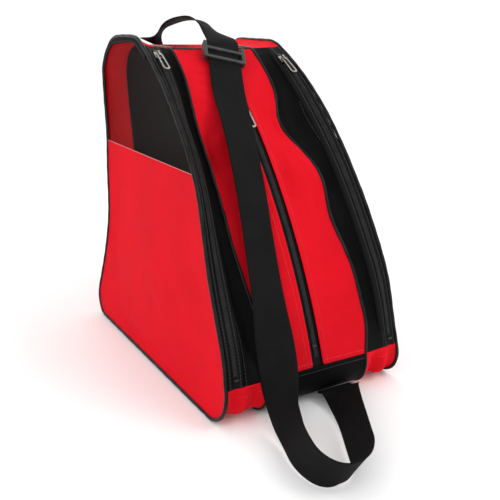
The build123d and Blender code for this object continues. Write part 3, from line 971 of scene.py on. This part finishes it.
def make_middle():
    """The two front halves with their dents and folds, the top, the back and the base."""
    half_grid = (92, 20)
    u = shares(half_grid)[1]
    for side_name, side in sides.items():
        lines = ruled((middle_line, inner_seams[side_name]), "toe", "top", half_grid[0], 2)
        edge = lines[:, 0] + np.array([side * slot_half, 0, 0])
        panel = add_panel(f"middle_{side_name}_cloth", between(edge, lines[:, 1], half_grid[1]),
                          red_cloth, "red_cloth", f"middle_front_{side_name}", slack=0.02, cap=6 * MM)
        height = panel.grid[..., 2]
        if side_name == "right":
            seed = 32
            dent = -5 * MM * hump(height, 0.262, 0.016) + 4 * MM * hump(height, 0.222, 0.022)
            fold = 1.6 * MM * hump(height - 0.035 * u, 0.285, 0.007) * np.sin(math.pi * u)
        else:
            seed = 31
            dent = -12 * MM * hump(height, 0.240, 0.018) + 3 * MM * hump(height, 0.282, 0.02)
            fold = 3.5 * MM * hump(height + 0.03 * u, 0.270, 0.006) * np.sin(math.pi * u) ** 0.6
            fold -= 3 * MM * hump(height + 0.01 * u, 0.236, 0.004) * np.sin(math.pi * u) ** 0.6
        panel.push(4 * MM * bowl(half_grid, 1.5) + folds(half_grid, seed, 0.8 * MM))
        panel.creases = dent * rise(u, 0.08, 0.4) * rise(1 - u, 0.0, 0.25) + fold
    for part, start, stop, turns, rows, node, material, slot_name, sag in (
            ("top", "top", "back", 0, 26, "middle_top_panel", red_cloth, "red_cloth", -3 * MM),
            ("back", "back", "heel", 0, 60, "middle_back_panel", red_cloth, "red_cloth", -2 * MM),
            ("base", "heel", "toe", 1, 84, "base_panel", black_cloth, "black_cloth", 0.0)):
        shape = (rows, 26)
        grid = ruled(inner_seams.values(), start, stop, *shape, turns=turns)
        panel = add_panel(f"middle_{part}_cloth", grid, material, slot_name, node, slack=0.015,
                          cap=5 * MM)
        panel.push(sag * bowl(shape) + folds(shape, 41, 0.8 * MM))
    make_middle_zip()


def make_middle_zip():
    """The middle zip, whose tape lies under the folded edges of the two front halves."""
    found = marks(middle_line)
    rows = 240
    line = stretch_of(middle_line, found["toe"] - 2.5, found["top"] - 1.5, rows)
    along = tangents(line)
    up = unit(np.stack([np.zeros(rows), -along[:, 2], along[:, 1]], 1))
    if up[:, 2].mean() < 0:
        up = -up
    across = np.tile([1.0, 0.0, 0.0], (rows, 1))
    line = line - up * zip_drop
    dip, edge_dip = -0.5 * MM, -2.4 * MM
    profile = [(-11 * MM, edge_dip), (-6 * MM, dip), (0, dip), (6 * MM, dip), (11 * MM, edge_dip)]
    tape("middle_zip", line, across, up, profile)
    coil_pair("middle_zip", line, across, up, slice(middle_coil_foot, -middle_coil_head))


for side_name in sides:
    make_side_faces(side_name)
    make_side_gussets(side_name)
make_middle()
drape(list(panels.values()))
for panel in panels.values():
    panel.push(np.full(panel.grid.shape[:2], panel.creases))
for panel in panels.values():
    panel.build()


# ---- piping, bands and stitches
piping_share = 0.88         # of the CAD piping's radius, which leaves room for the swell


def make_pipings():
    """The cord piping round each of the four closed seams, with a slight swell along it."""
    for side_name in sides:
        for kind, seam, radius in (("outer", outer_seams[side_name], piping_radius),
                                   ("inner", inner_seams[side_name], inner_piping_radius)):
            closed = np.concatenate([seam, seam[:1]])
            line = resample(closed, 700)[:-1]
            gone = np.linspace(0, 1, len(line))
            swell = 1 + 0.05 * np.sin(2 * math.pi * 60 * gone) + 0.03 * np.sin(2 * math.pi * 23 * gone)
            piece = tube(f"{side_name}_{kind}_cord_piping", line, piping_share * radius * swell,
                         piping_vinyl, closed=True, around=14,
                         normals=np.tile([1.0, 0.0, 0.0], (len(line), 1)))
            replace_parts(piece, f"{side_name}_{kind}_piping")


def make_top_piping():
    """Piping across the front edge of the middle compartment's top."""
    tops = [marks(seam)["top"] for seam in inner_seams.values()]
    ends = [stretch_of(seam, top, top + 0.1, 2)[0] for seam, top in zip(inner_seams.values(), tops)]
    share = np.linspace(0.02, 0.98, 60)[:, None]
    line = ends[0] * (1 - share) + ends[1] * share
    line[:, 2] -= 1.5 * MM * np.sin(math.pi * share[:, 0])
    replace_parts(tube("middle_top_cord_piping", line, 1.9 * MM, piping_vinyl), "top_piping")


def make_window_band(side_name):
    """Soft black binding inside the window, along its top and its rear."""
    seam = outer_seams[side_name]
    found = marks(seam)
    rows = 200
    line = stretch_of(seam, found["top"] - 8, found["back_window"], rows)
    side = sides[side_name]
    inward = np.cross(tangents(line), [side, 0, 0])
    if (inward * (line.mean(0) - line)).sum() < 0:
        inward = -inward
    inward = unit(inward)
    up = np.tile([side, 0.0, 0.0], (rows, 1))
    reach = 7.5 * MM * (1 + 0.08 * np.sin(lengths(line) * 90))
    profile = np.linspace(0, 1, 5)
    grid = line[:, None] + inward[:, None] * (reach[:, None] * profile)[..., None]
    grid = grid + up[:, None] * (1.4 * MM * np.sin(math.pi * profile * 0.8) + 0.4 * MM)[None, :, None]
    Panel(f"{side_name}_window_binding", grid, black_cloth, "black_cloth", thick=0.8 * MM,
          outward=up[0]).build()
    stitches(f"{side_name}_window_stitching", grid[:, 3], up, black_thread)


def stitch_row(name, panel_name, row=None, column=None, material=red_thread):
    """Stitches along one row or column of a panel as it hangs."""
    panel = panels[panel_name]
    place = row if row is not None else (slice(None), column)
    line, up = panel.grid[place], panel.normals()[place]
    stitches(name, line + up * panel.thick / 2, up, material)


def make_stitching():
    for side_name in sides:
        stitch_row(f"{side_name}_seam_stitching", f"{side_name}_boot_panel", row=-1,
                   material=pale_thread)
        stitch_row(f"middle_{side_name}_zip_stitching", f"middle_{side_name}_cloth", column=2)
        stitch_row(f"{side_name}_base_stitching", f"{side_name}_bottom_cloth", row=-3)
        stitch_row(f"middle_{side_name}_foot_stitching", f"middle_{side_name}_cloth", row=1)
        stitch_row(f"{side_name}_front_stitching", f"{side_name}_front_cloth", column=1,
                   material=black_thread)
    stitch_row("base_stitching", "middle_base_cloth", row=-2, material=black_thread)
    stitch_row("top_stitching", "middle_top_cloth", row=1)


make_pipings()
make_top_piping()
for side_name in sides:
    make_window_band(side_name)
make_stitching()


# ---- strap anchors
def make_anchor(name, node, origin, across, down, outward, length, thickness):
    """A folded end of webbing, box-stitched with a cross."""
    half = webbing_width / 2
    rows, columns, stitch_points = 14, 22, 20
    share = np.linspace(-1, 1, columns)
    v = np.linspace(0, 1, rows)
    grid = (origin + across * (share * half)[None, :, None] + down * (v * length)[:, None, None]
            + outward * (thickness / 2 + 0.4 * MM * np.sin(math.pi * v)[:, None, None]))
    uv = np.stack(np.broadcast_arrays((share * half)[None], (v * length)[:, None]), 2)
    obj = add_mesh(name, grid, grid_faces(rows, columns), webbing_cloth, uv)
    thicken(obj, thickness)
    soft = obj.modifiers.new("round", "BEVEL")
    soft.width = 0.5 * MM
    soft.segments = 2
    bake_modifiers(obj)
    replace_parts(obj, node)
    corners = [(-0.84, 0.14), (0.84, 0.14), (0.84, 0.86), (-0.84, 0.86)]
    line = np.array([origin + across * a * half + down * b * length + outward * thickness
                     for a, b in corners])
    box_and_cross = [(0, 1), (1, 2), (2, 3), (3, 0), (0, 2), (1, 3)]
    for k, (a, b) in enumerate(box_and_cross):
        row = resample(line[[a, b]], stitch_points)
        stitches(f"{name}_stitching_{k}", row, np.tile(outward, (stitch_points, 1)), black_thread,
                 lift=0.4 * MM)


def make_anchors():
    """The end sewn to the top of the back, and the one that goes under the toe."""
    tilt = math.radians(35.0)
    outward = np.array([0, math.cos(tilt), math.sin(tilt)])
    down = np.array([0, math.sin(tilt), -math.cos(tilt)])
    low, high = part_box("top_anchor")
    centre = (np.array(low) + np.array(high)) / 2
    make_anchor("upper_strap_end", "top_anchor", centre - down * 11 * MM - outward * 1.5 * MM,
                np.array([1.0, 0, 0]), down, outward, 22 * MM, 2.6 * MM)
    end, before = strap_line[-1], strap_line[-4]
    along = unit(end - before)
    across = strap_across[-1]
    outward = unit(np.cross(across, along))
    if outward[1] > 0:
        outward = -outward
    make_anchor("lower_strap_end", "bottom_anchor", end - outward * 1.3 * MM, across, along, outward,
                6 * MM, 2.2 * MM)


make_anchors()


# ---- carried-over pieces
def finish_nodes():
    """Give the moulded, plated and hidden pieces of the frame their materials."""
    finishes = {"slider": nickel, "pull": nickel, "stops": coil_nylon, "buckle": buckle_plastic,
                "board": board_plastic}
    for name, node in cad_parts.items():
        for ending, material in finishes.items():
            if name.endswith(ending):
                node.data.materials.clear()
                node.data.materials.append(material)


finish_nodes()


# ---- floor and light
def make_floor():
    n = Nodes("floor")
    n.colour(n.noise(3.0), (0.97, 0.97, 0.97), (0.985, 0.985, 0.985))
    n.fixed(Roughness=0.9, Specular_IOR_Level=0.1)
    mesh = bpy.data.meshes.new("floor")
    reach = 6.0
    corners = [(-reach, -reach, 0), (reach, -reach, 0), (reach, reach, 0), (-reach, reach, 0)]
    mesh.from_pydata(corners, [], [(0, 1, 2, 3)])
    mesh.materials.append(n.material)
    new_object("floor", mesh)


def add_light(name, place, aim, size, power):
    data = bpy.data.lights.new(name, "AREA")
    data.shape = "DISK"
    data.size = size
    data.energy = power
    light = new_object(name, data)
    light.location = place
    light.rotation_euler = (Vector(aim) - Vector(place)).to_track_quat("-Z", "Y").to_euler()


def make_light():
    world = bpy.data.worlds.new("studio")
    world.use_nodes = True
    colour, strength = world.node_tree.nodes["Background"].inputs[:2]
    colour.default_value = (1, 1, 1, 1)
    strength.default_value = 1.05
    bpy.context.scene.world = world
    bpy.context.scene.view_settings.view_transform = "Standard"
    add_light("key", (0.9, -1.1, 1.6), (0, 0, 0.15), 0.9, 9)
    add_light("fill", (-1.6, -0.8, 0.9), (0, 0, 0.15), 1.2, 3)
    add_light("back", (0.2, 1.5, 1.3), (0, 0, 0.2), 1.0, 4)


make_floor()
make_light()
